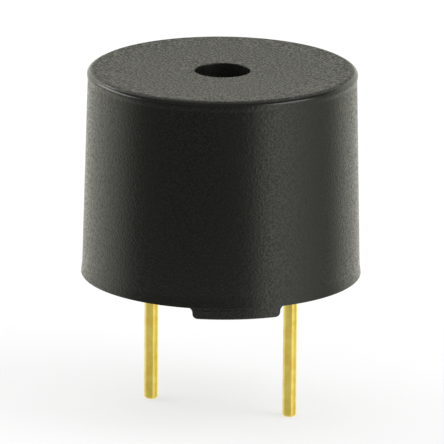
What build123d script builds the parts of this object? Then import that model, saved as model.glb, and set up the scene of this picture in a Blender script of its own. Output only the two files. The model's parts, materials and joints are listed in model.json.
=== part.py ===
from build123d import *
from math import radians, tan

import os

# Magnetic buzzer, in millimetres. The origin is the middle of the seating plane, where the
# three feet stand on a circuit board, midway between the two pins. Z is up and X runs to the
# positive pin.

# Moulded case
case_diameter = 12.0
draft_angle = 1.4
rim_wall = 0.8
top_wall = 1.0
chamber_height = 2.25
shoulder_width = 0.32
port_diameter = 2.4
top_edge_radius = 0.28
mouth_chamfer = 0.15

# Feet on the rim
foot_count = 3
first_foot_angle = 60.0
foot_height = 0.5
foot_width = 3.6
foot_inset = 0.1
foot_corner_radius = 0.2
foot_root_radius = 0.25

# Circuit board
board_recess = 0.7
board_thickness = 0.8
board_clearance = 0.1

# Terminal pins: a shank in the board, which stops short of its top, and a slim post below
pin_diameter = 0.6
pin_reach = 5.6
pin_tip_chamfer = 0.08
pin_edge_distance = 1.85
shank_diameter = 1.0
shank_clearance = 0.03
shank_stub = 0.3
shank_recess = 0.15

# Solder and sealant
pin_solder_spread = 0.38
pin_solder_height = 0.24
drop_diameter = 1.1
drop_crown_diameter = 0.56
drop_height = 0.3
sealant_width = 0.5
sealant_height = 0.36

# Yoke plate, pole core and coil
yoke_thickness = 0.8
core_diameter = 2.2
core_tenon_diameter = 1.4
core_above_coil = 0.2
air_gap = 0.3
coil_core_clearance = 0.05
coil_magnet_gap = 0.45

# Coil leads
wire_diameter = 0.16
wire_embed = 0.16
wire_side_count = 8
wire_bend = 0.07
start_layer_depth = 0.25
finish_tap_height = 0.45
wire_end_depth = 0.18
board_lead_hole_diameter = 0.4
yoke_lead_hole_diameter = 0.6
lead_groove_width = 0.32
lead_groove_depth = 0.26

# Magnet, support ring, diaphragm and armature
magnet_height = 2.8
magnet_width = 0.95
ring_slip_clearance = 0.05
ring_wall = 0.6
magnet_slip_clearance = 0.05
ledge_thickness = 0.65
ledge_width = 1.15
diaphragm_thickness = 0.08
diaphragm_clearance = 0.08
armature_diameter = 3.4
armature_thickness = 0.4

# How far a cut or a joint runs past the face that it meets
overrun = 0.1

# Heights of the stack, from the feet up
rim_z = foot_height
board_bottom_z = rim_z + board_recess
board_top_z = board_bottom_z + board_thickness
shank_bottom_z = board_bottom_z - shank_stub
shank_top_z = board_top_z - shank_recess
yoke_top_z = board_top_z + yoke_thickness
magnet_top_z = yoke_top_z + magnet_height
ledge_z = magnet_top_z + ledge_thickness
chamber_top_z = ledge_z + chamber_height
case_top_z = chamber_top_z + top_wall
core_top_z = ledge_z - air_gap
coil_top_z = core_top_z - core_above_coil
diaphragm_top_z = ledge_z + diaphragm_thickness

# Radii, from the case wall in
case_radius = case_diameter / 2
case_top_radius = case_radius - (case_top_z - rim_z) * tan(radians(draft_angle))
bore_radius = case_radius - rim_wall
chamber_radius = bore_radius - shoulder_width
port_radius = port_diameter / 2
foot_outer_radius = case_radius - foot_inset
foot_inner_radius = bore_radius + mouth_chamfer
board_radius = bore_radius - board_clearance
ring_radius = bore_radius - ring_slip_clearance
pocket_radius = ring_radius - ring_wall
ledge_radius = ring_radius - ledge_width
magnet_radius = pocket_radius - magnet_slip_clearance
magnet_bore_radius = magnet_radius - magnet_width
coil_radius = magnet_bore_radius - coil_magnet_gap
core_radius = core_diameter / 2
coil_bore_radius = core_radius + coil_core_clearance
diaphragm_radius = chamber_radius - diaphragm_clearance
pin_radius = pin_diameter / 2
shank_radius = shank_diameter / 2
shank_hole_radius = shank_radius + shank_clearance
pin_solder_radius = shank_radius + pin_solder_spread
drop_radius = drop_diameter / 2
wire_radius = wire_diameter / 2

# Places of the pins and of the two coil leads, seen from above
pin_x = board_radius - pin_edge_distance
lead_y = (coil_radius + magnet_bore_radius) / 2
start_tap_y = coil_bore_radius + start_layer_depth
groove_z = yoke_top_z - lead_groove_depth / 2
groove_length = lead_y - start_tap_y + lead_groove_width / 2
wire_end_z = board_bottom_z - wire_end_depth

os.makedirs("parts", exist_ok=True)


# One foot, with flared roots and rounded corners, cut to the curve of the rim
with BuildPart() as foot:
    with BuildSketch(Plane.YZ) as foot_outline:
        Rectangle(foot_width, foot_height, align=(Align.CENTER, Align.MIN))
        with Locations((0, foot_height)):
            Rectangle(foot_width + 4 * foot_root_radius, overrun, align=(Align.CENTER, Align.MIN))
        foot_corners = foot_outline.vertices().group_by(Axis.Y)[0]
        fillet(foot_corners, foot_corner_radius)
        foot_roots = foot_outline.vertices().group_by(Axis.Y)[-2].sort_by(Axis.X)
        fillet(foot_roots[1:-1], foot_root_radius)
    extrude(amount=foot_outer_radius)
    with BuildSketch():
        Circle(foot_outer_radius)
        Circle(foot_inner_radius, mode=Mode.SUBTRACT)
    extrude(amount=foot_height + overrun, mode=Mode.INTERSECT)


# Case: a drafted cup with a stepped bore, a chamber over the diaphragm and a sound port
with BuildPart() as housing:
    with BuildSketch(Plane.XZ) as case_section:
        with BuildLine():
            Polyline(
                (case_radius, rim_z),
                (case_top_radius, case_top_z),
                (port_radius, case_top_z),
                (port_radius, chamber_top_z),
                (chamber_radius, chamber_top_z),
                (chamber_radius, ledge_z),
                (bore_radius, ledge_z),
                (bore_radius, rim_z + mouth_chamfer),
                (foot_inner_radius, rim_z),
                close=True,
            )
        make_face()
        fillet(case_section.vertices().sort_by_distance((case_top_radius, case_top_z))[0], top_edge_radius)
    revolve(axis=Axis.Z)
    with PolarLocations(0, foot_count, start_angle=first_foot_angle):
        add(foot.part)
housing.part.label = "housing"
export_step(housing.part, "parts/housing.step")


# Board that closes the case, with a hole for each pin and each coil lead
with BuildPart() as circuit_board:
    with BuildSketch(Plane.XY.offset(board_bottom_z)):
        Circle(board_radius)
        with Locations((pin_x, 0), (-pin_x, 0)):
            Circle(shank_hole_radius, mode=Mode.SUBTRACT)
        with Locations((0, lead_y), (0, -lead_y)):
            Circle(board_lead_hole_diameter / 2, mode=Mode.SUBTRACT)
    extrude(amount=board_thickness)
circuit_board.part.label = "circuit_board"
export_step(circuit_board.part, "parts/circuit_board.step")


# Pins: the shank fills its hole in the board and the post goes down
for pin_name, side in (("positive_pin", 1), ("negative_pin", -1)):
    with BuildPart() as pin:
        with BuildSketch(Plane.XZ.shift_origin((side * pin_x, 0, 0))) as pin_section:
            with BuildLine():
                Polyline(
                    (0, shank_top_z),
                    (shank_radius, shank_top_z),
                    (shank_radius, shank_bottom_z),
                    (pin_radius, shank_bottom_z),
                    (pin_radius, -pin_reach),
                    (0, -pin_reach),
                    close=True,
                )
            make_face()
            chamfer(pin_section.vertices().sort_by_distance((pin_radius, -pin_reach))[0], pin_tip_chamfer)
        revolve(axis=Axis((side * pin_x, 0, 0), (0, 0, 1)))
    pin.part.label = pin_name
    export_step(pin.part, f"parts/{pin_name}.step")


# Solder round each shank, drawn up against the board
for solder_name, side in (("positive_pin_solder", 1), ("negative_pin_solder", -1)):
    with BuildPart() as pin_solder:
        with BuildSketch(Plane.XZ.shift_origin((side * pin_x, 0, board_bottom_z))):
            with BuildLine():
                Polyline(
                    (shank_radius, 0),
                    (pin_solder_radius, 0),
                    (shank_radius, -pin_solder_height),
                    close=True,
                )
            make_face()
        revolve(axis=Axis((side * pin_x, 0, 0), (0, 0, 1)))
    pin_solder.part.label = solder_name
    export_step(pin_solder.part, f"parts/{solder_name}.step")


# Bead of sealant between the board's underside and the bore
with BuildPart() as edge_sealant:
    with BuildSketch(Plane.XZ):
        with BuildLine():
            Polyline(
                (bore_radius, board_bottom_z),
                (bore_radius - sealant_width, board_bottom_z),
                (bore_radius, board_bottom_z - sealant_height),
                close=True,
            )
        make_face()
    revolve(axis=Axis.Z)
edge_sealant.part.label = "edge_sealant"
export_step(edge_sealant.part, "parts/edge_sealant.step")


# Yoke: a stamped disc with holes for the core's tenon and the leads, and a groove for one lead
with BuildPart() as yoke_plate:
    with BuildSketch(Plane.XY.offset(board_top_z)):
        Circle(board_radius)
    extrude(amount=yoke_thickness)
    with BuildSketch(Plane.XY.offset(board_top_z)):
        Circle(core_tenon_diameter / 2)
        with Locations((0, lead_y), (0, -lead_y)):
            Circle(yoke_lead_hole_diameter / 2)
    extrude(amount=yoke_thickness, mode=Mode.SUBTRACT)
    with BuildSketch(Plane.XY.offset(yoke_top_z)):
        with Locations((0, -lead_y)):
            Rectangle(lead_groove_width, groove_length, align=(Align.CENTER, Align.MIN))
    extrude(amount=-lead_groove_depth, mode=Mode.SUBTRACT)
yoke_plate.part.label = "yoke_plate"
export_step(yoke_plate.part, "parts/yoke_plate.step")


# Core: a turned pole with a tenon riveted flush into the yoke
with BuildPart() as pole_core:
    with BuildSketch(Plane.XY.offset(yoke_top_z)):
        Circle(core_radius)
    extrude(amount=core_top_z - yoke_top_z)
    with BuildSketch(Plane.XY.offset(board_top_z)):
        Circle(core_tenon_diameter / 2)
    extrude(amount=yoke_thickness)
pole_core.part.label = "pole_core"
export_step(pole_core.part, "parts/pole_core.step")


# Coil: a bonded winding round the core
with BuildPart() as coil_winding:
    with BuildSketch(Plane.XY.offset(yoke_top_z)):
        Circle(coil_radius)
        Circle(coil_bore_radius, mode=Mode.SUBTRACT)
    extrude(amount=coil_top_z - yoke_top_z)
coil_winding.part.label = "coil_winding"
export_step(coil_winding.part, "parts/coil_winding.step")


# Start lead: out of the inner layer, along the yoke's groove and down through the board
with BuildPart() as coil_start_lead:
    with BuildLine(Plane.YZ) as start_route:
        Polyline(
            (-start_tap_y, yoke_top_z + wire_embed),
            (-start_tap_y, groove_z + wire_bend),
            (-start_tap_y - wire_bend, groove_z),
            (-lead_y + wire_bend, groove_z),
            (-lead_y, groove_z - wire_bend),
            (-lead_y, wire_end_z),
        )
    with BuildSketch(Plane(start_route.line @ 0, z_dir=start_route.line % 0)):
        RegularPolygon(wire_radius, wire_side_count)
    sweep(transition=Transition.RIGHT)
    add(coil_winding.part, mode=Mode.SUBTRACT)
coil_start_lead.part.label = "coil_start_lead"
export_step(coil_start_lead.part, "parts/coil_start_lead.step")


# Finish lead: off the outer layer and straight down beside the magnet
with BuildPart() as coil_finish_lead:
    with BuildLine(Plane.YZ) as finish_route:
        Polyline(
            (coil_radius - wire_embed, yoke_top_z + finish_tap_height),
            (lead_y - wire_bend, yoke_top_z + finish_tap_height),
            (lead_y, yoke_top_z + finish_tap_height - wire_bend),
            (lead_y, wire_end_z),
        )
    with BuildSketch(Plane(finish_route.line @ 0, z_dir=finish_route.line % 0)):
        RegularPolygon(wire_radius, wire_side_count)
    sweep(transition=Transition.RIGHT)
    add(coil_winding.part, mode=Mode.SUBTRACT)
coil_finish_lead.part.label = "coil_finish_lead"
export_step(coil_finish_lead.part, "parts/coil_finish_lead.step")


# Solder drops that close the lead holes and hold the wire ends
for drop_name, side, lead in (
    ("finish_lead_solder", 1, coil_finish_lead),
    ("start_lead_solder", -1, coil_start_lead),
):
    with BuildPart() as lead_solder:
        with BuildSketch(Plane.YZ.shift_origin((0, side * lead_y, board_bottom_z))):
            with BuildLine():
                Polyline(
                    (0, 0),
                    (drop_radius, 0),
                    (drop_crown_diameter / 2, -drop_height),
                    (0, -drop_height),
                    close=True,
                )
            make_face()
        revolve(axis=Axis((0, side * lead_y, 0), (0, 0, 1)))
        add(lead.part, mode=Mode.SUBTRACT)
    lead_solder.part.label = drop_name
    export_step(lead_solder.part, f"parts/{drop_name}.step")


# Magnet: a pressed ring that stands on the yoke
with BuildPart() as ring_magnet:
    with BuildSketch(Plane.XY.offset(yoke_top_z)):
        Circle(magnet_radius)
        Circle(magnet_bore_radius, mode=Mode.SUBTRACT)
    extrude(amount=magnet_height)
ring_magnet.part.label = "ring_magnet"
export_step(ring_magnet.part, "parts/ring_magnet.step")


# Support ring: a pocket over the magnet and a ledge that carries the diaphragm, under the shoulder
with BuildPart() as support_ring:
    with BuildSketch(Plane.XZ):
        with BuildLine():
            Polyline(
                (ring_radius, yoke_top_z),
                (ring_radius, ledge_z),
                (ledge_radius, ledge_z),
                (ledge_radius, magnet_top_z),
                (pocket_radius, magnet_top_z),
                (pocket_radius, yoke_top_z),
                close=True,
            )
        make_face()
    revolve(axis=Axis.Z)
support_ring.part.label = "support_ring"
export_step(support_ring.part, "parts/support_ring.step")


# Diaphragm: a thin spring disc that lies on the ledge
with BuildPart() as diaphragm:
    with BuildSketch(Plane.XY.offset(ledge_z)):
        Circle(diaphragm_radius)
    extrude(amount=diaphragm_thickness)
diaphragm.part.label = "diaphragm"
export_step(diaphragm.part, "parts/diaphragm.step")


# Armature: a small disc fixed on the middle of the diaphragm
with BuildPart() as armature_disc:
    with BuildSketch(Plane.XY.offset(diaphragm_top_z)):
        Circle(armature_diameter / 2)
    extrude(amount=armature_thickness)
armature_disc.part.label = "armature_disc"
export_step(armature_disc.part, "parts/armature_disc.step")
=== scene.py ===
# %% [markdown]
# # A magnetic buzzer, dressed for its portrait
# The buzzer is a black moulded cup, 12 mm across, with three feet on its rim and two gold pins below.
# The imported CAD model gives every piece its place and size. This lesson keeps those places, makes finer
# surfaces for the pieces that the eye lands on, and gives each piece the finish of its real material.

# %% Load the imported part
import json
import math

import bpy
import numpy as np
from mathutils import Matrix, Vector


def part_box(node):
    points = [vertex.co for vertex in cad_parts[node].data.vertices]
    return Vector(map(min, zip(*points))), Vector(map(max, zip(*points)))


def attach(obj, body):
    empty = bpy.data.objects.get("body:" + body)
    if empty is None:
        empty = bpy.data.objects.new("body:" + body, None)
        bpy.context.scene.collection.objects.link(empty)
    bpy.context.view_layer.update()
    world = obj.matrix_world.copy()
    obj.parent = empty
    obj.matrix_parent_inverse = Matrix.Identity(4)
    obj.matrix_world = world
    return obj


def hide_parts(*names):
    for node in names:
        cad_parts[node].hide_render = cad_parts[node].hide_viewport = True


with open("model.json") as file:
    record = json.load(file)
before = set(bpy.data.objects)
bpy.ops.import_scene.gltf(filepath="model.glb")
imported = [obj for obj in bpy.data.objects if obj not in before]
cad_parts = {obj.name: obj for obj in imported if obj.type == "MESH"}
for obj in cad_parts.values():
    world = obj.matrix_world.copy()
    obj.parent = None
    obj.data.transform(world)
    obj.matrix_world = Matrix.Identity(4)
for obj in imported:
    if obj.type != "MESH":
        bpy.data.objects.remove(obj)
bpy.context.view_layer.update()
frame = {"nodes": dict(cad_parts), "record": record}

MM = 0.001
scene = bpy.context.scene
nodes = frame["nodes"]
print("nodes in the frame:", ", ".join(sorted(nodes)))

# %% [markdown]
# ## Sizes that come from the frame
# A piece drawn here has to fit its neighbours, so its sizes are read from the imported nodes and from
# the mounts in the record. They could be typed again, but then a changed part would no longer fit.

# %% Read the sizes, in millimetres
def low(node):
    """Lowest corner of a node's box, in millimetres."""
    return np.array(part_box(node)[0]) / MM


def high(node):
    """Highest corner of a node's box, in millimetres."""
    return np.array(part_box(node)[1]) / MM


mounts = {m["name"]: m for m in frame["record"]["mounts"]}
# height of the rim over the soles of the feet, which no node's box gives
rim_z = 0.5
case_radius = high("housing")[0]
case_top = high("housing")[2]
bore_radius = high("edge_sealant")[0]
board_bottom = low("circuit_board")[2]
ledge_top = high("support_ring")[2]
port_radius = mounts["sound_port"]["dims"]["r_mm"]
top_wall = mounts["sound_port"]["dims"]["length_mm"]
pin_radius = mounts["positive_pin"]["dims"]["r_mm"]
pin_tip = low("positive_pin")[2]
pin_x = mounts["pin_footprint"]["dims"]["pcd_mm"] / 2
lead_y = high("finish_lead_solder")[1] / 2 + low("finish_lead_solder")[1] / 2
print(f"case {2 * case_radius:.1f} x {case_top:.1f} mm, port {2 * port_radius:.1f} mm")
print(f"pins {2 * pin_radius:.1f} mm thick, {2 * pin_x:.1f} mm apart, tips at {pin_tip:.1f} mm")

# %% [markdown]
# ## The camera
# The photograph was taken with a long lens from a little above the rim, turned 23 degrees from a view
# square on to both pins. A camera could be placed by eye, but the ellipse of the rim and the slope of
# the sides give its angle, and the width of the case in pixels gives its distance and lens. The rim's
# middle is put where it lies in the picture by moving the point that the camera aims at.

# %% Directions of the camera
CAMERA_AZIMUTH = 23.0
CAMERA_ELEVATION = 15.51
CAMERA_ROLL = 0.5


def direction(turn, lift):
    """Unit vector turned from the front, -y, towards +x and lifted: (sin t cos l, -cos t cos l, sin l)."""
    return np.array([math.sin(turn) * math.cos(lift), -math.cos(turn) * math.cos(lift), math.sin(lift)])


azimuth = math.radians(CAMERA_AZIMUTH)
roll = math.radians(CAMERA_ROLL)
to_camera = direction(azimuth, math.radians(CAMERA_ELEVATION))
level_right = np.array([math.cos(azimuth), math.sin(azimuth), 0.0])
level_up = np.cross(to_camera, level_right)
right = level_right * math.cos(roll) + level_up * math.sin(roll)
up = np.cross(to_camera, right)
print("towards the camera:", to_camera.round(3).tolist())

# %% Camera at the photograph's viewing angle
IMAGE_SIDE_PX = 444
SENSOR_MM = 36.0
CAMERA_DISTANCE_MM = 400.0
PX_PER_MM = 23.23
RIM_CENTRE_PX = (220.82, 270.85)
NEAREST_M = 0.01
FARTHEST_M = 10.0

half_image = IMAGE_SIDE_PX / 2
aim = (
    np.array([0.0, 0.0, rim_z])
    + right * (half_image - RIM_CENTRE_PX[0]) / PX_PER_MM
    + up * (RIM_CENTRE_PX[1] - half_image) / PX_PER_MM
)
camera_data = bpy.data.cameras.new("camera")
camera_data.sensor_width = SENSOR_MM
camera_data.lens = PX_PER_MM * CAMERA_DISTANCE_MM * SENSOR_MM / IMAGE_SIDE_PX
camera_data.clip_start = NEAREST_M
camera_data.clip_end = FARTHEST_M
camera = bpy.data.objects.new("camera", camera_data)
camera_matrix = np.eye(4)
camera_matrix[:3, 0] = right
camera_matrix[:3, 1] = up
camera_matrix[:3, 2] = to_camera
camera_matrix[:3, 3] = (aim + to_camera * CAMERA_DISTANCE_MM) * MM
camera.matrix_world = Matrix(camera_matrix.tolist())
scene.collection.objects.link(camera)
scene.camera = camera
print(f"lens {camera_data.lens:.0f} mm at {CAMERA_DISTANCE_MM:.0f} mm")

# %% [markdown]
# ## From arrays to meshes
# Every new surface here is a grid of points: rows along a profile, columns round an axis or along a
# path. Blender's own lathe and bevel tools could make some of them, but a grid keeps every row where
# the formula puts it. One function turns a grid into quads. A row that shrinks to one point would leave
# a ring of triangles without area, so a pole is welded into a single vertex.

# %% A grid of points becomes a piece
SAME_POINT = 1e-9


def grid_piece(name, grid, replaces=(), wrap_rows=False, attributes=None):
    """Makes a mesh from a grid of points in millimetres, rows by columns by three.

    Columns always close round. Rows close only with wrap_rows. A face joins a point to the next
    column, the next row and the point across. A first or last row of one repeated point becomes one
    vertex, and its quads become triangles.
    """
    rows, columns = grid.shape[:2]
    index = np.arange(rows * columns).reshape(rows, columns)
    if not wrap_rows:
        for row in (0, -1):
            if np.ptp(grid[row], axis=0).max() < SAME_POINT:
                index[row] = index[row, 0]
    below = np.vstack([index, index[:1]]) if wrap_rows else index
    a, b = below[:-1], below[1:]
    quads = np.stack([a, np.roll(a, -1, 1), np.roll(b, -1, 1), b], axis=-1).reshape(-1, 4)
    used, compact = np.unique(quads, return_inverse=True)
    faces = [list(dict.fromkeys(face)) for face in compact.reshape(quads.shape).tolist()]
    mesh = bpy.data.meshes.new(name)
    mesh.from_pydata((grid.reshape(-1, 3)[used] * MM).tolist(), [], faces)
    mesh.polygons.foreach_set("use_smooth", np.ones(len(faces), bool))
    for attribute, values in (attributes or {}).items():
        layer = mesh.attributes.new(attribute, "FLOAT", "POINT")
        layer.data.foreach_set("value", np.ravel(values)[used].astype(np.float32))
    mesh.update()
    piece = bpy.data.objects.new(name, mesh)
    scene.collection.objects.link(piece)
    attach(piece, "root")
    if replaces:
        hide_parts(*replaces)
    print(f"{name}: {rows} rows x {columns} columns, {len(faces)} faces")
    return piece


print("grid_piece: points in rows and columns become a mesh")

# %% [markdown]
# Nothing moulded or turned has a perfectly sharp corner: the small rounds are what catches the light.
# So a section is given by its corners and a radius at each, and one function works out the arcs. A
# second function cuts long runs, so that the faces stay about as long as they are wide.

# %% Outlines with rounded corners
def rounded(corners, radii, steps=7, support=0.04):
    """An open outline through corners, each inner corner turned into an arc.

    At a corner the direction turns from a to b by an angle. The arc starts radius x tan(angle / 2)
    before the corner, and at a turn t along it lies at start + radius x (a sin t + n (1 - cos t)),
    where n is the side that it bends to. A support point before and after each arc keeps the straight
    runs flat when the surface is shaded smooth.
    """
    corners = np.array(corners, float)
    radii = np.array(radii, float)[:, None]
    runs = np.diff(corners, axis=0)
    headings = runs / np.linalg.norm(runs, axis=1, keepdims=True)
    a, b = headings[:-1], headings[1:]
    left = np.stack([-a[:, 1], a[:, 0]], axis=-1)
    angle = np.arctan2((left * b).sum(1), (a * b).sum(1))[:, None]
    start = corners[1:-1] - a * radii * np.abs(np.tan(angle / 2))
    end = corners[1:-1] + b * radii * np.abs(np.tan(angle / 2))
    turn = angle * np.linspace(0, 1, steps)
    along = a[:, None] * np.sin(np.abs(turn))[..., None]
    aside = (left * np.sign(angle))[:, None] * (1 - np.cos(turn))[..., None]
    arcs = start[:, None] + radii[:, None] * (along + aside)
    before, after = start - a * support, end + b * support
    inner = np.concatenate([before[:, None], arcs, after[:, None]], axis=1).reshape(-1, 2)
    return np.vstack([corners[:1], inner, corners[-1:]])


def divided(outline, longest):
    """The same outline with each run cut into equal parts no longer than longest."""
    runs = np.linalg.norm(np.diff(outline, axis=0), axis=1)
    parts = np.maximum(1, np.ceil(runs / longest)).astype(int)
    first = np.repeat(np.arange(len(runs)), parts)
    step = np.arange(parts.sum()) - np.repeat(np.cumsum(parts) - parts, parts)
    share = step / np.repeat(parts, parts)
    points = outline[first] + share[:, None] * (outline[first + 1] - outline[first])
    return np.vstack([points, outline[-1:]])


print("a rounded corner has", len(rounded([(0, 0), (1, 0), (1, 1)], [0.5])) - 2, "points")

# %% [markdown]
# ## The moulded case
# The case is one injection moulding: a drafted cup, open at the bottom, with a sound port in its top
# and three feet on its rim. It could be a lathe shape with feet joined on, but a moulding has no such
# seams. So it is one grid that closes both ways. Its rows follow the wall's section, out of the bore,
# through the port, over the top and down the side. The top is bevelled at its edge, and under the
# bevel runs the mould's parting line, a smooth lip a few hundredths of a millimetre proud. At the rim
# the side flares out by as little.

# %% Sizes of the section
DRAFT_DEGREES = 1.4
SIDE_INSET = 0.02
CHAMBER_CLEARANCE = 0.08
FOOT_INSET = 0.1
MOUTH_CHAMFER = 0.15
BEVEL_INSET = 0.22
LIP_PROUD = 0.06
LIP_DROP = 0.15
LIP_FOOT_DROP = 0.44
FLARE_PROUD = 0.04
FLARE_HEIGHT = 0.4

draft = math.tan(math.radians(DRAFT_DEGREES))
side_radius = case_radius - SIDE_INSET
top_radius = side_radius - (case_top - rim_z) * draft
chamber_radius = high("diaphragm")[0] + CHAMBER_CLEARANCE
chamber_top = case_top - top_wall
foot_outer = case_radius - FOOT_INSET
foot_inner = bore_radius + MOUTH_CHAMFER
print(f"side from {side_radius:.2f} mm at the rim to {top_radius:.2f} mm at the top")

# %% Section of the wall
INNER_RADIUS = 0.05
PORT_EDGE_RADIUS = 0.04
BEVEL_RADIUS = 0.2
LIP_RADIUS = 0.16
LIP_FOOT_RADIUS = 0.3
FLARE_RADIUS = 2.5
RIM_EDGE_RADIUS = 0.015
SHELL_SUPPORT = 0.02
LONGEST_ROW = 0.45

shell_corners = [
    (foot_inner, rim_z),
    (bore_radius, rim_z + MOUTH_CHAMFER),
    (bore_radius, ledge_top),
    (chamber_radius, ledge_top),
    (chamber_radius, chamber_top),
    (port_radius, chamber_top),
    (port_radius, case_top),
    (top_radius - BEVEL_INSET, case_top),
    (top_radius + LIP_PROUD, case_top - LIP_DROP),
    (top_radius + LIP_FOOT_DROP * draft, case_top - LIP_FOOT_DROP),
    (side_radius - FLARE_HEIGHT * draft, rim_z + FLARE_HEIGHT),
    (side_radius + FLARE_PROUD, rim_z),
    (foot_outer, rim_z),
]
outer_radii = [PORT_EDGE_RADIUS, BEVEL_RADIUS, LIP_RADIUS, LIP_FOOT_RADIUS, FLARE_RADIUS, RIM_EDGE_RADIUS]
shell = rounded(shell_corners, [INNER_RADIUS] * 5 + outer_radii, support=SHELL_SUPPORT)
shell = divided(shell, LONGEST_ROW)
print(f"wall section: {len(shell)} rows")

# %% [markdown]
# A flat moulded plate shrinks as it cools, and its middle sinks a little: here by 0.08 mm, in the curve
# of a parabola. The top also has a grain that the mould was given, which ends on the bevel, and the lip
# below it is smooth. A material can't know where one finish ends, so the rows of both are marked here,
# and the marks go into the mesh as attributes.

# %% Sunk top, and marks for its finishes
TOP_SINK = 0.08
DISH_INSET = 0.28
TEXTURE_INSET = 0.15

dish_radius = top_radius - DISH_INSET
texture_radius = top_radius - TEXTURE_INSET
near_top = shell[:, 1] > case_top - LIP_DROP
past_port = shell[:, 0] > port_radius + PORT_EDGE_RADIUS / 2
grained_rows = near_top & past_port & (shell[:, 0] < texture_radius)
lip_rows = (shell[:, 0] > texture_radius) & (shell[:, 1] > case_top - LIP_DROP - LIP_RADIUS / 4)
shell[:, 1] -= near_top * TOP_SINK * np.clip(1 - (shell[:, 0] / dish_radius) ** 2, 0, 1)
print(f"{grained_rows.sum()} rows of grain, {lip_rows.sum()} rows of smooth lip")

# %% [markdown]
# A foot is a short block that follows the curve of the rim, with rounded corners below and flared roots
# above, so that the mould fills and lets go. It has two outlines: one along the rim, which says how
# deep each column hangs, and one across it, which says where each row lies at full depth.

# %% Outline of a foot along the rim
FOOT_WIDTH = 3.6
FOOT_CORNER = 0.2
FOOT_ROOT = 0.25
FOOT_SIDE_DRAFT = 0.006
FOOT_ARC_STEPS = 9
FOOT_SUPPORT = 0.01
COLUMN_STEP = 0.1

half_foot = FOOT_WIDTH / 2
foot_corners = [
    (-half_foot - 2 * FOOT_ROOT, 0.0),
    (-half_foot - FOOT_SIDE_DRAFT, 0.0),
    (-half_foot + FOOT_SIDE_DRAFT, rim_z),
    (half_foot - FOOT_SIDE_DRAFT, rim_z),
    (half_foot + FOOT_SIDE_DRAFT, 0.0),
    (half_foot + 2 * FOOT_ROOT, 0.0),
]
foot_radii = [FOOT_ROOT, FOOT_CORNER, FOOT_CORNER, FOOT_ROOT]
foot_path = rounded(foot_corners, foot_radii, steps=FOOT_ARC_STEPS, support=FOOT_SUPPORT)
foot_path = divided(foot_path, COLUMN_STEP)
print(f"foot: {len(foot_path)} columns along it")

# %% Section of a foot across the rim
FOOT_EDGE = 0.04
FOOT_EDGE_STEPS = 5
FOOT_ROW = 0.2

section_corners = [
    (foot_outer + FOOT_EDGE, rim_z),
    (foot_outer, rim_z),
    (foot_outer, 0.0),
    (foot_inner, 0.0),
    (foot_inner, rim_z),
]
section_radii = [FOOT_EDGE / 2, FOOT_EDGE, FOOT_EDGE]
foot_section = rounded(section_corners, section_radii, steps=FOOT_EDGE_STEPS, support=FOOT_SUPPORT)
foot_section = divided(foot_section, FOOT_ROW)[1:-1]
flat_section = np.linspace((foot_outer, rim_z), (foot_inner, rim_z), len(foot_section) + 2)[1:-1]
print(f"foot: {len(foot_section)} rows across it")

# %% [markdown]
# The columns of one third of the rim run along a foot and then along the plain rim to the next foot.
# Each column is a mix of the plain section and the foot's section, by the depth of the foot there. On
# the top the columns are spread evenly, and down the side they drift towards the foot's own columns,
# so that no face is left without width.

# %% Radius and height of every point of the case
FOOT_COUNT = 3
EASE_DEPTH = 0.1


def smooth(share):
    """Goes from 0 to 1 with a level start and end: 3 s^2 - 2 s^3, with s held between 0 and 1."""
    share = np.clip(share, 0, 1)
    return share * share * (3 - 2 * share)


sector = 2 * np.pi / FOOT_COUNT
rim_start = np.arcsin(foot_path[-1, 0] / case_radius)
plain_count = int(np.ceil((sector - 2 * rim_start) * case_radius / COLUMN_STEP))
plain_share = np.linspace(0, 1, plain_count + 1)[1:-1]
drop_share = np.concatenate([foot_path[:, 1] / rim_z, np.zeros(len(plain_share))])
section_flat = np.vstack([shell, flat_section])
section_foot = np.vstack([shell, foot_section])
sink = np.tile(drop_share, FOOT_COUNT)
radius = section_flat[:, :1] + (section_foot - section_flat)[:, :1] * smooth(sink / EASE_DEPTH)
height = section_flat[:, 1:] + (section_foot - section_flat)[:, 1:] * sink
print(f"case: {radius.shape[0]} rows x {radius.shape[1]} columns")

# %% Angle of every point, and the case as one closed grid
FIRST_FOOT_DEGREES = 60.0
DRIFT_HEIGHT = 2.5

even_angle = -rim_start + np.arange(len(drop_share)) * sector / len(drop_share)
guide = np.clip(section_flat[:, :1], foot_inner, case_radius)
along_foot = np.arcsin(foot_path[:, 0] / guide)
along_rim = along_foot[:, -1:] + (sector - 2 * along_foot[:, -1:]) * plain_share
foot_angle = np.concatenate([along_foot, along_rim], axis=1)
drift = 1 - smooth((section_flat[:, 1:] - rim_z) / DRIFT_HEIGHT)
sector_angle = even_angle + (foot_angle - even_angle) * drift
first_foot = math.radians(FIRST_FOOT_DEGREES)
angle = np.concatenate([sector_angle + first_foot + k * sector for k in range(FOOT_COUNT)], axis=1)
case_grid = np.stack([radius * np.cos(angle), radius * np.sin(angle), height], axis=-1)

marks = {"top_face": np.zeros(case_grid.shape[:2]), "smooth_edge": np.zeros(case_grid.shape[:2])}
marks["top_face"][: len(shell)] = grained_rows[:, None]
marks["smooth_edge"][: len(shell)] = lip_rows[:, None]
case = grid_piece("moulded_case", case_grid, ["housing"], wrap_rows=True, attributes=marks)

# %% [markdown]
# ## The pins
# Each pin is a length of drawn wire with a thicker shank that is riveted into the board, cut off at
# its lower end and lightly rounded there. It is a turned shape, so its outline goes round an axis.
# A plain cylinder would have the size, but the small rounds at its tip are what makes it look cut.

# %% Two turned pins
PIN_TIP_CHAMFER = 0.08
PIN_RADII = [0.05, 0.08, 0.03, 0.04, 0.04]
PIN_SUPPORT = 0.01
PIN_ROW = 0.4
PIN_COLUMNS = 64
PINS = (("plated_pin_plus", "positive_pin", 1), ("plated_pin_minus", "negative_pin", -1))


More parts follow.
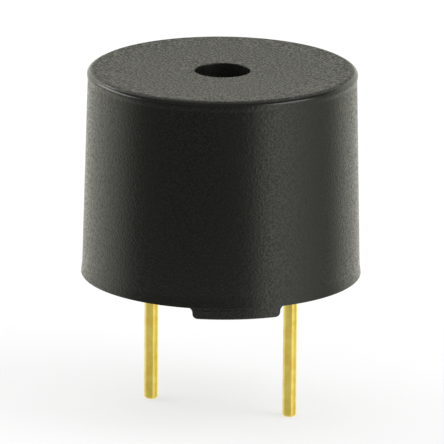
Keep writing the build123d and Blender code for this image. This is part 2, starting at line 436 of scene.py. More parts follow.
def turned(outline, columns, centre=(0.0, 0.0)):
    """An outline of radius and height turned round a vertical axis: x = r cos t, y = r sin t, z = h."""
    t = np.linspace(0, 2 * np.pi, columns, endpoint=False)
    r, h = outline[:, :1], outline[:, 1:]
    return np.stack([centre[0] + r * np.cos(t), centre[1] + r * np.sin(t), h + 0 * t], axis=-1)


shank_radius = high("positive_pin")[0] - pin_x
shank_top = high("positive_pin")[2]
shank_bottom = pin_tip + PIN_TIP_CHAMFER + mounts["positive_pin"]["dims"]["length_mm"]
pin_corners = [
    (0.0, pin_tip),
    (pin_radius - PIN_TIP_CHAMFER, pin_tip),
    (pin_radius, pin_tip + PIN_TIP_CHAMFER),
    (pin_radius, shank_bottom),
    (shank_radius, shank_bottom),
    (shank_radius, shank_top),
    (0.0, shank_top),
]
pin_outline = divided(rounded(pin_corners, PIN_RADII, support=PIN_SUPPORT), PIN_ROW)
pins = [
    grid_piece(name, turned(pin_outline, PIN_COLUMNS, (side * pin_x, 0.0)), [node])
    for name, node, side in PINS
]

# %% [markdown]
# ## The closed underside
# Under the board are the two copper lands that join each pin to one end of the coil. They are foil
# under green mask, thin and slightly proud. They could be painted on, but their edges catch the light.
# A land is a narrow band carried along an arc, with round ends: the rows go along the arc and the
# columns go round the band's section.

# %% Copper lands on the board
LAND_WIDTH = 1.1
LAND_HEIGHT = 0.04
LAND_EDGE = 0.03
LAND_ROOT = 0.01
LAND_STEPS = 60
END_STEPS = 12
LAND_SWEEP_DEGREES = 90


def land_grid(start_degrees, radius_mm):
    """A flat band along an arc, with round ends.

    Its middle line is an arc at radius R, its half width w(s) falls as sqrt(1 - s^2) over each round
    end, and its section is a flat strip with softened edges that hangs under the board.
    """
    half = LAND_WIDTH / 2
    ends = half * np.sin(np.linspace(0, np.pi / 2, END_STEPS))
    length = math.radians(LAND_SWEEP_DEGREES) * radius_mm
    middle = np.linspace(0, length, LAND_STEPS)[1:-1]
    along = np.concatenate([ends - half, middle, length + half - ends[::-1]])
    past = np.maximum(np.maximum(-along, along - length), 0) / half
    width = half * np.sqrt(np.maximum(1 - past**2, 0))[:, None]
    side = np.array([1, 1, 1, -1, -1, -1], float)
    inset = np.array([0, 0, 1, 1, 0, 0], float)
    drop = np.array([0, 0.5, 1, 1, 0.5, 0], float)
    r = radius_mm + side * np.maximum(width - inset * LAND_EDGE, 0)
    turn = math.radians(start_degrees) + along[:, None] / radius_mm
    z = board_bottom + LAND_ROOT - drop * (LAND_HEIGHT + LAND_ROOT) * np.minimum(width / LAND_EDGE, 1)
    return np.stack([r * np.cos(turn), r * np.sin(turn), z + 0 * turn], axis=-1)


land_radius = (pin_x + lead_y) / 2
lands = [
    grid_piece("copper_land_plus", land_grid(0, land_radius), ()),
    grid_piece("copper_land_minus", land_grid(180, land_radius), ()),
]

# %% [markdown]
# Solder wets the metal and pulls itself into a hollow curve between the pin and its land. A cone has
# the right size but not that curve, so each fillet is turned from a quarter of an ellipse that is
# tangent to the board at its wide end and to the pin at its narrow one. The drops on the wire ends are
# round caps. No two joints set alike, so a sum of slow sines with seeded phases makes each uneven.

# %% Uneven outlines for what has flowed
WAVE_COUNT = 5


def wavy(grid, centre, amount, seed):
    """Shifts each point outwards by amount x a sum of slow sines round the axis, so no two are alike."""
    rng = np.random.default_rng(seed)
    phase = rng.uniform(0, 2 * np.pi, WAVE_COUNT)
    offset = grid[..., :2] - np.array(centre)
    t = np.arctan2(offset[..., 1], offset[..., 0])
    order = np.arange(1, WAVE_COUNT + 1)
    wave = (np.sin(t[..., None] * order + phase) / order).sum(-1)
    out = grid.copy()
    out[..., :2] += offset * amount * wave[..., None]
    return out


print(f"wavy: {WAVE_COUNT} sines round the axis")

# %% Solder round the pins and on the wire ends
SOLDER_COLUMNS = 72
SOLDER_STEPS = 14
SHANK_BITE = 0.02
FILLET_WAVE = 0.02
DROP_WAVE = 0.03


def pin_fillet(node, name, side, seed):
    """Hollow fillet: r = shank + spread (1 - sin t), h = board - rise (1 - cos t), over a quarter turn."""
    spread = max(high(node)[0], -low(node)[0]) - pin_x - shank_radius
    rise = high(node)[2] - low(node)[2]
    t = np.linspace(0, np.pi / 2, SOLDER_STEPS)
    face = np.stack([shank_radius + spread * (1 - np.sin(t)), board_bottom - rise * (1 - np.cos(t))], -1)
    inside = shank_radius - SHANK_BITE
    outline = np.vstack([face, [[inside, board_bottom - rise], [inside, board_bottom]]])[::-1]
    centre = (side * pin_x, 0.0)
    grid = wavy(turned(outline, SOLDER_COLUMNS, centre), centre, FILLET_WAVE, seed)
    return grid_piece(name, grid, [node], wrap_rows=True)


def lead_drop(node, name, side, seed):
    """Round cap: r = base cos t, h = board - rise sin t, closed by its flat base on the board."""
    base = high(node)[0]
    rise = high(node)[2] - low(node)[2]
    t = np.linspace(np.pi / 2, 0, SOLDER_STEPS)
    cap = np.stack([base * np.cos(t), board_bottom - rise * np.sin(t)], -1)
    cap[0, 0] = 0.0
    outline = np.vstack([cap, [[0.0, board_bottom]]])
    centre = (0.0, side * lead_y)
    grid = wavy(turned(outline, SOLDER_COLUMNS, centre), centre, DROP_WAVE, seed)
    return grid_piece(name, grid, [node])


solder = [
    pin_fillet("positive_pin_solder", "pin_solder_plus", 1, 3),
    pin_fillet("negative_pin_solder", "pin_solder_minus", -1, 4),
    lead_drop("finish_lead_solder", "wire_solder_finish", 1, 5),
    lead_drop("start_lead_solder", "wire_solder_start", -1, 6),
]

# %% [markdown]
# A bead of sealant runs round the corner between the board and the case. It was poured, so it climbs
# both walls in a hollow curve and its edge wanders a little. A plain ring would look machined, so three
# sines push its inner edge in and out, and leave its outer edge on the bore.

# %% Sealant bead
BEAD_INNER_RADIUS = 4.7
BEAD_COLUMNS = 240
BEAD_STEPS = 12
WANDER_TURNS = np.array([3, 7, 13])
WANDER_SHARE = np.array([0.0035, 0.0025, 0.0015])
WANDER_PHASE = np.array([1.0, 0.0, 0.0])

bead_width = bore_radius - BEAD_INNER_RADIUS
bead_height = high("edge_sealant")[2] - low("edge_sealant")[2]
bead_curve = np.linspace(0, np.pi / 2, BEAD_STEPS)
bead_outline = np.vstack([
    np.stack([
        bore_radius - bead_width * (1 - np.sin(bead_curve)),
        board_bottom - bead_height * (1 - np.cos(bead_curve)),
    ], -1),
    [[bore_radius, board_bottom - bead_height / 2], [bore_radius, board_bottom]],
])
bead_grid = turned(bead_outline, BEAD_COLUMNS)
bead_turn = np.linspace(0, 2 * np.pi, BEAD_COLUMNS, endpoint=False)[:, None]
wander = (WANDER_SHARE * np.sin(WANDER_TURNS * bead_turn + WANDER_PHASE)).sum(1)
inner_edge = np.clip((bore_radius - np.hypot(bead_grid[..., 0], bead_grid[..., 1])) / bead_width, 0, 1)
bead_grid[..., :2] *= (1 + wander * inner_edge)[..., None]
bead = grid_piece("sealant_bead", bead_grid[::-1], ["edge_sealant"], wrap_rows=True)

# %% [markdown]
# ## The coil
# Inside, the coil is hundreds of turns of enamelled wire. Modelling each turn as a tube would take a
# million faces. The outside of a bonded coil only shows the top layer's ridges, so its wall is a grid
# whose radius rises and falls once per wire, with a height that climbs one wire in each turn round.

# %% Coil with its turns
COIL_WIRE = 0.14
COIL_CLEARANCE = 0.05
COIL_COLUMNS = 120
ROWS_PER_WIRE = 6
RIDGE_SHARE = 0.25

coil_low, coil_high = low("coil_winding"), high("coil_winding")
coil_radius = coil_high[0]
coil_bore = high("pole_core")[0] + COIL_CLEARANCE
margin = COIL_WIRE / 2
wall_z = np.arange(coil_low[2] + margin, coil_high[2] - margin, COIL_WIRE / ROWS_PER_WIRE)[:, None]
coil_turn = np.linspace(0, 2 * np.pi, COIL_COLUMNS, endpoint=False)
phase = 2 * np.pi * (wall_z - coil_low[2]) / COIL_WIRE - coil_turn
wall_r = coil_radius - COIL_WIRE * RIDGE_SHARE * (1 - np.abs(np.cos(phase / 2)))
wall = np.stack([wall_r * np.cos(coil_turn), wall_r * np.sin(coil_turn), wall_z + 0 * coil_turn], -1)
rim_r = coil_radius - margin
caps = turned(np.array([
    (rim_r, coil_high[2]), (coil_bore, coil_high[2]), (coil_bore, coil_low[2]), (rim_r, coil_low[2]),
]), COIL_COLUMNS)
coil_grid = np.concatenate([wall, caps])
coil = grid_piece("wound_coil", coil_grid, ["coil_winding"], wrap_rows=True)

# %% [markdown]
# Both ends of the coil's wire go down through the board to their solder drops. Each is round wire with
# two or three straight runs and soft bends. A curve with a bevel could make it, but both paths lie in
# the plane x = 0, where a circle is easily carried along them and its ends closed.

# %% The two leads of the coil
LEAD_SIDES = 16
LEAD_BEND = 0.12
LEAD_ROW = 0.2
FINISH_BURIED = 0.1
START_INSET = 0.25
START_RISE = 0.12
GROOVE_DEPTH = 0.13

lead_radius = high("coil_finish_lead")[0]


def wire_grid(corners):
    """A tube along a rounded path in the plane x = 0: each ring lies across the path's own direction."""
    points = divided(rounded(corners, [LEAD_BEND] * (len(corners) - 2)), LEAD_ROW)
    heading = np.gradient(points, axis=0)
    heading /= np.linalg.norm(heading, axis=1, keepdims=True)
    across = np.stack([-heading[:, 1], heading[:, 0]], -1)
    t = np.linspace(0, 2 * np.pi, LEAD_SIDES, endpoint=False)
    ring_y = points[:, :1] + lead_radius * np.sin(t) * across[:, :1]
    ring_z = points[:, 1:] + lead_radius * np.sin(t) * across[:, 1:]
    tube = np.stack([lead_radius * np.cos(t) + 0 * ring_y, ring_y, ring_z], -1)
    ends = [np.repeat(tube[k].mean(0)[None, None], LEAD_SIDES, 1) for k in (0, -1)]
    return np.concatenate([ends[0], tube, ends[1]])


lead_end = low("coil_finish_lead")[2]
finish_z = high("coil_finish_lead")[2] - lead_radius
start_y = coil_bore + START_INSET
start_z = high("yoke_plate")[2] + START_RISE
groove_z = high("yoke_plate")[2] - GROOVE_DEPTH
finish_path = [(coil_radius - FINISH_BURIED, finish_z), (lead_y, finish_z), (lead_y, lead_end)]
start_path = [(-start_y, start_z), (-start_y, groove_z), (-lead_y, groove_z), (-lead_y, lead_end)]
leads = [
    grid_piece("finish_lead", wire_grid(finish_path), ["coil_finish_lead"]),
    grid_piece("start_lead", wire_grid(start_path), ["coil_start_lead"]),
]

# %% [markdown]
# A grid's faces can come out facing inwards, because that depends on which way its rows run. Blender
# could recalculate the normals, but a formula tells without guessing: the volume inside a closed mesh is
# a sixth of the sum of a . (b x c) over its triangles, and it is negative when the faces look in. Such
# a mesh is turned the right way round here.

# %% Turn inward faces outward
def outward(piece):
    """Flips a closed mesh whose signed volume, the sum of a . (b x c) / 6 over triangles, is negative."""
    mesh = piece.data
    mesh.calc_loop_triangles()
    corners = np.empty(len(mesh.vertices) * 3)
    mesh.vertices.foreach_get("co", corners)
    triangles = np.empty(len(mesh.loop_triangles) * 3, int)
    mesh.loop_triangles.foreach_get("vertices", triangles)
    a, b, c = corners.reshape(-1, 3)[triangles.reshape(-1, 3)].transpose(1, 0, 2)
    volume = (a * np.cross(b, c)).sum() / 6
    if volume < 0:
        mesh.flip_normals()
    print(f"{piece.name}: {abs(volume) / MM**3:.3f} cubic mm{', turned outward' if volume < 0 else ''}")


for piece in [case, bead, coil, *pins, *lands, *solder, *leads]:
    outward(piece)

# %% [markdown]
# ## Making materials
# Colours are picked as sRGB hex values, the way a screen shows them, and Blender's shaders want linear
# light, so one function converts them. One more function adds a node with its settings and links.
# Patterns are sized in millimetres on Object coordinates, so they stay put when the part is turned.

# %% Colours, sizes and nodes
def linear(hex_colour):
    """Linear RGBA of an sRGB hex colour: c / 12.92 in the deep shades, ((c + 0.055) / 1.055)^2.4 above."""
    c = np.array([int(hex_colour[k:k + 2], 16) for k in (1, 3, 5)]) / 255
    return (*np.where(c <= 0.04045, c / 12.92, ((c + 0.055) / 1.055) ** 2.4), 1.0)


def per_mm(size_mm):
    """Scale of a texture node whose features are to be size_mm across, on coordinates in metres."""
    return 1 / (size_mm * MM)


def add_node(tree, kind, inputs=None, stops=(), **settings):
    """Adds one node: inputs are values or sockets to link from, stops are a ramp's positions and colours."""
    node = tree.nodes.new(kind)
    for key, value in settings.items():
        setattr(node, key, value)
    for key, value in (inputs or {}).items():
        if isinstance(value, bpy.types.NodeSocket):
            tree.links.new(value, node.inputs[key])
        else:
            node.inputs[key].default_value = value
    for k, (position, colour) in enumerate(stops):
        node.color_ramp.elements[k].position = position
        node.color_ramp.elements[k].color = linear(colour)
    return node


print("mid grey #808080 in linear light:", np.round(linear("#808080")[:3], 3).tolist())

# %% [markdown]
# Most finishes share one recipe: a pattern goes from its dark places to its light ones, and colour,
# roughness and relief follow it together, as they do on a real surface. The recipe takes the pattern as
# a socket, so each material can bring the grain of its own making.

# %% Materials, and one recipe for two-toned finishes
def new_material(name, **constants):
    """A material with a Principled shader whose constants sit on its own sockets."""
    material = bpy.data.materials.new(name)
    material.use_nodes = True
    shader = material.node_tree.nodes["Principled BSDF"]
    for key, value in constants.items():
        shader.inputs[key.replace("_", " ")].default_value = value
    place = add_node(material.node_tree, "ShaderNodeTexCoord").outputs["Object"]
    return material, material.node_tree, shader, place


def two_tone(tree, shader, pattern, tones, rough, limits=(0.0, 1.0), bump_mm=0.0, strength=1.0):
    """Between the two limits of the pattern, colour goes from the first tone to the second and roughness
    from the first value to the second. The relief is the pattern itself, bump_mm high."""
    tone = add_node(tree, "ShaderNodeValToRGB", {"Fac": pattern}, zip(limits, tones))
    tree.links.new(tone.outputs[0], shader.inputs["Base Color"])
    gloss = add_node(tree, "ShaderNodeMapRange", {
        "Value": pattern, "From Min": limits[0], "From Max": limits[1],
        "To Min": rough[0], "To Max": rough[1],
    })
    tree.links.new(gloss.outputs[0], shader.inputs["Roughness"])
    if bump_mm:
        relief = {"Strength": strength, "Distance": bump_mm * MM, "Height": pattern}
        tree.links.new(add_node(tree, "ShaderNodeBump", relief).outputs[0], shader.inputs["Normal"])


def dress(material, *pieces):
    """Puts one material on pieces, in place of whatever they had."""
    for piece in pieces:
        piece.data.materials.clear()
        piece.data.materials.append(material)
    print(f"{material.name}: {', '.join(piece.name for piece in pieces)}")


print("two_tone: a pattern, two tones, roughness, relief")

# %% [markdown]
# ## Black moulded polyester
# The case is PBT, a polyester filled with carbon black. The mould was cut by sparks, so the plastic
# comes out with a fine satin grain. On the top the grain is deeper, scatters the light and looks grey.
# The lip of the parting line is the one smooth place, and it draws a thin bright line. The top's colour is
# painted a lighter grey than the side's, for the light that its grain scatters, and on top and side the
# raised grain is painted lighter than its pits, a painted sheen for the light on the crests. Roughness and
# relief follow the grain as well. One material holds all three finishes, and the mesh's top_face and
# smooth_edge say which is where.

# %% Grain of the case
TOP_GRAIN_MM = 0.09
TOP_PIT_MM = 0.07
# the side's own grain is nearer to 0.03 mm, too fine to show, so it is drawn coarser
SIDE_GRAIN_MM = 0.1
GRAIN_DETAIL = 1.0
PIT_SHARE = 0.35
LIP_LEVEL = 0.59

pbt, tree, shader, place = new_material("moulded_black_pbt", IOR=1.55)
on_top = add_node(tree, "ShaderNodeAttribute", attribute_name="top_face").outputs["Fac"]
on_edge = add_node(tree, "ShaderNodeAttribute", attribute_name="smooth_edge").outputs["Fac"]
craters, side_grain = [
    add_node(
        tree, "ShaderNodeTexNoise", {"Vector": place, "Scale": per_mm(size), "Detail": GRAIN_DETAIL}
    ).outputs["Fac"]
    for size in (TOP_GRAIN_MM, SIDE_GRAIN_MM)
]
pits = add_node(
    tree, "ShaderNodeTexVoronoi", {"Vector": place, "Scale": per_mm(TOP_PIT_MM)}, feature="SMOOTH_F1"
).outputs["Distance"]
spark = add_node(
    tree, "ShaderNodeMath", {0: pits, 1: PIT_SHARE, 2: craters}, operation="MULTIPLY_ADD"
).outputs[0]
peel = add_node(tree, "ShaderNodeMix", {0: on_edge, 2: side_grain, 3: LIP_LEVEL}).outputs[0]
print(f"{pbt.name}: grain {TOP_GRAIN_MM} mm on the top, {SIDE_GRAIN_MM} mm on the side")

# %% Colour of the case
# level of the grain and colour there: the raised grain is painted a shade lighter than its pits, a painted
# sheen for the light the crests catch, and the top's tones are a painted lighter grey than the side's, for
# the light that its grain scatters
TOP_PAINTED_LIGHT_TONES = ((0.45, "#24241F"), (0.58, "#33332D"))
SIDE_BLACK_AND_PAINTED_SHEEN_TONES = ((0.40, "#141411"), (0.60, "#1F1F1B"))
LIP_BLACK = "#161613"

# painted light: the top's ramp is lighter than the side's, and both ramps are lighter on the crests
painted_light_speckle = add_node(tree, "ShaderNodeValToRGB", {"Fac": craters}, TOP_PAINTED_LIGHT_TONES)
side_tone_and_painted_sheen = add_node(tree, "ShaderNodeValToRGB", {"Fac": peel}, SIDE_BLACK_AND_PAINTED_SHEEN_TONES)
side_skin = add_node(
    tree, "ShaderNodeMix", {0: on_edge, 6: side_tone_and_painted_sheen.outputs[0], 7: linear(LIP_BLACK)}, data_type="RGBA"
).outputs[2]
skin = add_node(
    tree, "ShaderNodeMix", {0: on_top, 6: side_skin, 7: painted_light_speckle.outputs[0]}, data_type="RGBA"
).outputs[2]
tree.links.new(skin, shader.inputs["Base Color"])
print(f"{pbt.name}: side {SIDE_BLACK_AND_PAINTED_SHEEN_TONES[0][1]} to {SIDE_BLACK_AND_PAINTED_SHEEN_TONES[1][1]}")

# %% Gloss and relief of the case
# levels of the grain between which its roughness changes, and the roughness at each: the crests are
# smoother than the pits, so they glint and the eye sees the grain
SIDE_LEVELS, SIDE_ROUGHNESS = (0.4, 0.6), (0.42, 0.18)
TOP_LEVELS, TOP_ROUGHNESS = (0.42, 0.58), (0.62, 0.36)
SPARK_DEPTH_MM = 0.04
SATIN_DEPTH_MM = 0.012

side_rough, top_rough = [
    add_node(tree, "ShaderNodeMapRange", {
        "Value": grain, "From Min": levels[0], "From Max": levels[1],
        "To Min": roughness[0], "To Max": roughness[1],
    }).outputs[0]
    for grain, levels, roughness in (
        (peel, SIDE_LEVELS, SIDE_ROUGHNESS), (craters, TOP_LEVELS, TOP_ROUGHNESS),
    )
]
rough = add_node(tree, "ShaderNodeMix", {0: on_top, 2: side_rough, 3: top_rough}).outputs[0]
tree.links.new(rough, shader.inputs["Roughness"])
spark_height = add_node(tree, "ShaderNodeMath", {0: spark, 1: on_top}, operation="MULTIPLY").outputs[0]
spark_bump = add_node(
    tree, "ShaderNodeBump", {"Strength": 1.0, "Distance": SPARK_DEPTH_MM * MM, "Height": spark_height}
).outputs[0]
satin_bump = add_node(tree, "ShaderNodeBump", {
    "Strength": 1.0, "Distance": SATIN_DEPTH_MM * MM, "Height": peel, "Normal": spark_bump,
}).outputs[0]
tree.links.new(satin_bump, shader.inputs["Normal"])
dress(pbt, case)

# %% [markdown]
# ## Gold plate
# The pins are drawn brass wire under a thin gold flash. Drawing leaves fine lines along the wire, which
# soften the highlight across it. The flash is thin, so its yellow is deep in places and pale in others.
# An even yellow metal would look like paint, so slow clouds shift its tint and its gloss.

# %% Pin material
# real drawing lines are about 0.01 mm wide, too fine to show, so they are drawn three times as wide
DRAW_LINE_MM = 0.03
DRAW_STRETCH = 0.02
DRAW_DEPTH_MM = 0.002
DRAW_STRENGTH = 0.35
CLOUD_MM = 0.5
GOLD_TONES = ((0.30, "#E9C956"), (0.68, "#F8E378"))
GOLD_LEVELS, GOLD_ROUGHNESS = (0.3, 0.7), (0.14, 0.2)

gold, tree, shader, place = new_material("gold_flash_on_drawn_brass", Metallic=1.0)
long_way = (1.0, 1.0, DRAW_STRETCH)
line_place = add_node(tree, "ShaderNodeMapping", {"Vector": place, "Scale": long_way}).outputs[0]
lines, clouds = [
    add_node(
        tree, "ShaderNodeTexNoise", {"Vector": where, "Scale": per_mm(size), "Detail": detail}
    ).outputs["Fac"]
    for where, size, detail in ((line_place, DRAW_LINE_MM, 2.0), (place, CLOUD_MM, 5.0))
]
tint = add_node(tree, "ShaderNodeValToRGB", {"Fac": clouds}, GOLD_TONES)
tree.links.new(tint.outputs[0], shader.inputs["Base Color"])
gloss = add_node(tree, "ShaderNodeMapRange", {
    "Value": clouds, "From Min": GOLD_LEVELS[0], "From Max": GOLD_LEVELS[1],
    "To Min": GOLD_ROUGHNESS[0], "To Max": GOLD_ROUGHNESS[1],
})
tree.links.new(gloss.outputs[0], shader.inputs["Roughness"])
line_bump = add_node(
    tree, "ShaderNodeBump", {"Strength": DRAW_STRENGTH, "Distance": DRAW_DEPTH_MM * MM, "Height": lines}
)
tree.links.new(line_bump.outputs[0], shader.inputs["Normal"])
dress(gold, *pins)

# %% [markdown]
# ## Board and lands
# The board is glass cloth in epoxy under a coat of green mask. The weave shows through as a fine check:
# two wave patterns that cross, one for each way of the threads. Over the copper lands there is no weave
# to see, and the bright metal below makes the same mask look lighter.

# %% Board material
WEAVE_MM = 0.45
WAVES_PER_UNIT = 20 / (2 * math.pi)
WEAVE_WANDER = 0.6

# a coat over the mask gives the eye a soft second gloss; Blender's wave runs 20 radians in one unit
board, tree, shader, place = new_material(
    "glass_epoxy_with_green_mask", IOR=1.5, Coat_Weight=0.3, Coat_Roughness=0.2
)
thread = {"Vector": place, "Scale": per_mm(WEAVE_MM) / WAVES_PER_UNIT, "Distortion": WEAVE_WANDER}
warp, weft = [
    add_node(tree, "ShaderNodeTexWave", thread, bands_direction=way).outputs["Fac"] for way in ("X", "Y")
]
weave = add_node(tree, "ShaderNodeMath", {0: warp, 1: weft}, operation="MULTIPLY").outputs[0]
two_tone(tree, shader, weave, ("#14452B", "#1F5C38"), rough=(0.38, 0.5), bump_mm=0.01, strength=0.5)
dress(board, nodes["circuit_board"])

# %% Land material
MASK_CLOUD_MM = 0.6

# the mask lies level on the copper, so the eye sees a smooth lighter green with faint clouds
land, tree, shader, place = new_material(
    "green_mask_over_copper", IOR=1.5, Coat_Weight=0.3, Coat_Roughness=0.2
)
cloud = add_node(
    tree, "ShaderNodeTexNoise", {"Vector": place, "Scale": per_mm(MASK_CLOUD_MM), "Detail": 4.0}
).outputs["Fac"]
two_tone(tree, shader, cloud, ("#2B6B3F", "#3F8A52"), rough=(0.32, 0.45))
dress(land, *lands)

# %% [markdown]
# ## Solder and sealant
# Solder is bright tin that frosts as it sets, when crystals grow across its skin. The sealant is clear
# amber epoxy with a glassy skin. It could be real glass to the renderer, but so thin a bead over black
# plastic shows no depth, so a glossy coat over a brown that varies is enough.

# %% Solder and sealant materials
# real crystals are about 0.05 mm wide, too fine to show, so they are drawn coarser
FROST_MM = 0.12
AMBER_CLOUD_MM = 1.2

# the crystals give the eye a bright metal with a broken, slightly dull gleam
tin, tree, shader, place = new_material("tin_solder", Metallic=1.0)
frost = add_node(
    tree, "ShaderNodeTexVoronoi", {"Vector": place, "Scale": per_mm(FROST_MM)}
).outputs["Distance"]
two_tone(tree, shader, frost, ("#C4C6C8", "#DADCDD"), rough=(0.22, 0.42), bump_mm=0.004, strength=0.3)
dress(tin, *solder)

# the coat gives the eye a wet, glassy highlight over warm brown
epoxy, tree, shader, place = new_material("amber_epoxy", IOR=1.55, Coat_Weight=0.5, Coat_Roughness=0.08)
depth = add_node(
    tree, "ShaderNodeTexNoise", {"Vector": place, "Scale": per_mm(AMBER_CLOUD_MM), "Detail": 3.0}
).outputs["Fac"]
two_tone(tree, shader, depth, ("#6B4316", "#A87830"), rough=(0.12, 0.24))
dress(epoxy, bead)

# %% [markdown]
# ## The works inside
# The yoke, core and armature are zinc-plated steel, the diaphragm is rolled spring steel, the magnet
# is sintered ferrite and the ring round it is natural nylon. Hardly any of it shows, but whoever opens
# the part should find real metals there. They share the recipe, with a noise of the material's own
# grain that is stretched where the metal was rolled.

# %% Inner materials
INNER_LIMITS = (0.3, 0.7)
# name, two tones, metallic, two roughnesses, grain in mm, stretch of the grain, relief in mm, pieces;
# the lines of rolling and the grain of ferrite are finer than this, and drawn coarser so that they show
INNER_FINISHES = (
    # zinc gives the eye a soft grey gleam in slow clouds
    ("zinc_plated_steel", ("#A4A8AB", "#C6C9CB"), 1.0, (0.28, 0.42), 0.25, (1, 1, 1), 0.003,
     [nodes["yoke_plate"], nodes["pole_core"], nodes["armature_disc"]]),
    # rolling gives the eye fine lines one way
    ("rolled_spring_steel", ("#8F8E8A", "#B3B1AC"), 1.0, (0.2, 0.34), 0.06, (0.05, 1, 1), 0.001,
     [nodes["diaphragm"]]),
    # clear enamel over copper gives the eye a warm, lacquered metal
    ("enamelled_copper_wire", ("#8E3F1B", "#C77036"), 0.85, (0.2, 0.36), 0.3, (1, 1, 1), 0.001,
     [coil, *leads]),
    # fired ferrite gives the eye a dull dark grey with a stony grain
    ("sintered_ferrite", ("#2C2B2D", "#48474A"), 0.1, (0.6, 0.8), 0.1, (1, 1, 1), 0.008,
     [nodes["ring_magnet"]]),
    # moulded nylon gives the eye a milky, faintly clouded white
    ("natural_nylon", ("#CFC7B2", "#E0DAC9"), 0.0, (0.4, 0.52), 0.8, (1, 1, 1), 0.002,
     [nodes["support_ring"]]),
)
for name, tones, metallic, rough_range, grain_mm, stretch, bump_mm, pieces in INNER_FINISHES:
    material, tree, shader, place = new_material(name, Metallic=metallic)
    grain_place = add_node(tree, "ShaderNodeMapping", {"Vector": place, "Scale": stretch}).outputs[0]
    noise = add_node(
        tree, "ShaderNodeTexNoise", {"Vector": grain_place, "Scale": per_mm(grain_mm), "Detail": 4.0}
    ).outputs["Fac"]
    two_tone(tree, shader, noise, tones, rough_range, INNER_LIMITS, bump_mm)
    dress(material, *pieces)

# %% [markdown]
# ## Floor
# The buzzer stands on its pin tips on white paper that keeps its soft shadow. A white plane under a
# lamp would turn grey away from the lamp, and more light would spoil the black of the case. So the
# paper is partly lit and partly glows, only for the camera and in mirrors. Mirrors see it only near the
# part, and there by little more than half, so that the pins show both the paper and the room. From
# below, the paper is clear.

# %% Floor of white paper
FLOOR_SIDE = 4.0
FLOOR_WHITE = "#FAFAFA"
FLOOR_GLOW = 0.6
MIRRORED_REACH_MM = 22.0
MIRRORED_SHARE = 0.6
WHITE = (1.0, 1.0, 1.0, 1.0)

corner = np.array([(-1, -1), (1, -1), (1, 1), (-1, 1)]) * FLOOR_SIDE / 2
floor_mesh = bpy.data.meshes.new("floor")
floor_mesh.from_pydata(np.column_stack([corner, np.full(4, pin_tip * MM)]).tolist(), [], [(0, 1, 2, 3)])
floor = bpy.data.objects.new("floor", floor_mesh)
scene.collection.objects.link(floor)

paper, tree, shader, place = new_material("white_paper_floor", Roughness=0.9, Specular_IOR_Level=0.0)
shader.inputs["Base Color"].default_value = linear(FLOOR_WHITE)
floor_mesh.materials.append(paper)
print(f"floor at {pin_tip:.2f} mm")

# %% Which rays see the paper, and how
ray = add_node(tree, "ShaderNodeLightPath").outputs
mirrored = add_node(
    tree, "ShaderNodeMath", {0: ray["Is Glossy Ray"], 1: ray["Is Transmission Ray"]}, operation="MAXIMUM"
).outputs[0]
shown = add_node(
    tree, "ShaderNodeMath", {0: ray["Is Camera Ray"], 1: mirrored}, operation="MAXIMUM"
).outputs[0]
seen = add_node(tree, "ShaderNodeMath", {0: shown, 1: FLOOR_GLOW}, operation="MULTIPLY").outputs[0]
glow = add_node(tree, "ShaderNodeEmission", {"Color": WHITE, "Strength": 1.0}).outputs[0]
lit = add_node(tree, "ShaderNodeMixShader", {0: seen, 1: shader.outputs[0], 2: glow}).outputs[0]
away = add_node(tree, "ShaderNodeVectorMath", {0: place}, operation="LENGTH").outputs["Value"]
near = add_node(
    tree, "ShaderNodeMath", {0: away, 1: MIRRORED_REACH_MM * MM}, operation="LESS_THAN"
).outputs[0]
missed = add_node(
    tree, "ShaderNodeMath", {0: near, 1: -MIRRORED_SHARE, 2: 1.0}, operation="MULTIPLY_ADD"
).outputs[0]
passed = add_node(
    tree, "ShaderNodeMath", {0: missed, 1: ray["Is Glossy Ray"]}, operation="MULTIPLY"
).outputs[0]
below = add_node(tree, "ShaderNodeNewGeometry").outputs["Backfacing"]
open_way = add_node(tree, "ShaderNodeMath", {0: passed, 1: below}, operation="MAXIMUM").outputs[0]
clear = add_node(tree, "ShaderNodeBsdfTransparent").outputs[0]
sheet = add_node(tree, "ShaderNodeMixShader", {0: open_way, 1: lit, 2: clear}).outputs[0]
tree.links.new(sheet, tree.nodes["Material Output"].inputs["Surface"])
print(f"{paper.name}: a glow of {FLOOR_GLOW}")

# %% [markdown]
# ## Light
# Two soft boxes stand at the sides and a little above. They shape the shadow and draw the bright line
# on the lip. Point lamps would give hard dots on the gold, so they are wide rectangles that the camera
# doesn't see.

# %% Two soft boxes
LAMPS = (
    # name, compass angle from the camera to the right, elevation, distance, width and height in mm, radiance
    ("soft_box_right", 70.0, 42.0, 300.0, 170.0, 170.0, 2.7),
    ("soft_box_left", -112.0, 30.0, 300.0, 280.0, 110.0, 2.5),
)
for name, compass_degrees, lamp_elevation, away_mm, wide_mm, high_mm, radiance in LAMPS:
    to_lamp = direction(azimuth + math.radians(compass_degrees), math.radians(lamp_elevation))
    lamp_data = bpy.data.lights.new(name, "AREA")
    lamp_data.shape = "RECTANGLE"
    lamp_data.size = wide_mm * MM
    lamp_data.size_y = high_mm * MM
    lamp_data.energy = radiance * math.pi * wide_mm * high_mm * MM**2
    lamp = bpy.data.objects.new(name, lamp_data)
    lamp.location = (to_lamp * away_mm * MM).tolist()
    lamp.rotation_euler = Vector(to_lamp.tolist()).to_track_quat("Z", "Y").to_euler()
    lamp.visible_camera = False
    scene.collection.objects.link(lamp)
    print(f"{name}: {lamp_data.energy:.3f} W")

# %% [markdown]
# A round white tent lights the part evenly. What a shiny surface shows is another matter: the case
# mirrors a white box on the right, a dark room in front and white sheets on the left and behind. So
# the world draws that ring of light by compass angle, under a dark ceiling, for glossy rays. The camera
# sees plain white, and everything else sees the even tent.

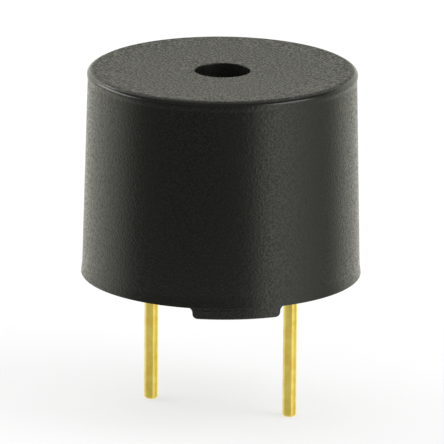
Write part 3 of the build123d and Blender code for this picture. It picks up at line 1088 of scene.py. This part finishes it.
# %% Compass angle of a ray that leaves the scene
world = bpy.data.worlds.new("studio")
scene.world = world
world.use_nodes = True
world.cycles.sampling_method = "NONE"
tree = world.node_tree
way = add_node(tree, "ShaderNodeTexCoord").outputs["Generated"]
turned_way = add_node(
    tree, "ShaderNodeVectorRotate", {"Vector": way, "Angle": -azimuth}, rotation_type="Z_AXIS"
).outputs[0]
axis = add_node(tree, "ShaderNodeSeparateXYZ", {0: turned_way}).outputs
toward = add_node(tree, "ShaderNodeMath", {0: axis["Y"], 1: -1.0}, operation="MULTIPLY").outputs[0]
compass = add_node(tree, "ShaderNodeMath", {0: axis["X"], 1: toward}, operation="ARCTAN2").outputs[0]
round_share = add_node(
    tree, "ShaderNodeMapRange", {"Value": compass, "From Min": -math.pi, "From Max": math.pi}
).outputs[0]
print("compass: 0 at the camera, growing to the right")

# %% Ring of light and dark ceiling
RING_TINT = np.array([1.0, 1.0, 0.88])
RING = (
    # compass angle from the camera, to the right, in degrees, and the light that comes from there
    (-180, 1.14), (-145, 1.1), (-122, 1.2), (-104, 0.98),
    (-94, 0.7), (-83, 0.28), (-74, 0.04), (26, 0.04),
    (40, 1.25), (50, 1.25), (70, 0.8), (100, 0.3),
    (110, 0.5), (124, 1.1), (150, 1.1), (180, 1.14),
)
CEILING_LOW = math.sin(math.radians(26))
CEILING_FULL = math.sin(math.radians(40))
CEILING_GREY = (0.14, 0.14, 0.13, 1.0)

ring = add_node(tree, "ShaderNodeValToRGB", {"Fac": round_share})
stops = ring.color_ramp.elements
stops.remove(stops[1])
for degrees, level in RING:
    stop = stops[0] if degrees == RING[0][0] else stops.new((degrees + 180) / 360)
    stop.color = (*(level * RING_TINT), 1.0)
above = add_node(
    tree, "ShaderNodeMapRange", {"Value": axis["Z"], "From Min": CEILING_LOW, "From Max": CEILING_FULL},
    interpolation_type="SMOOTHSTEP",
).outputs[0]
room = add_node(
    tree, "ShaderNodeMix", {0: above, 6: ring.outputs[0], 7: CEILING_GREY}, data_type="RGBA"
).outputs[2]
print(f"ring of {len(RING)} stops")

# %% Who sees the room, the tent and plain white
TENT = (0.85, 0.85, 0.85, 1.0)

ray = add_node(tree, "ShaderNodeLightPath").outputs
shiny = add_node(
    tree, "ShaderNodeMath", {0: ray["Is Glossy Ray"], 1: ray["Is Transmission Ray"]}, operation="MAXIMUM"
).outputs[0]
lit = add_node(tree, "ShaderNodeMix", {0: shiny, 6: TENT, 7: room}, data_type="RGBA").outputs[2]
seen = add_node(
    tree, "ShaderNodeMix", {0: ray["Is Camera Ray"], 6: lit, 7: WHITE}, data_type="RGBA"
).outputs[2]
tree.links.new(seen, tree.nodes["Background"].inputs["Color"])
print(f"even tent of strength {TENT[0]}")

# %% [markdown]
# ## Finish
# The view transform stays Standard, so that a colour shows as it is written.

# %% View settings
scene.view_settings.view_transform = "Standard"
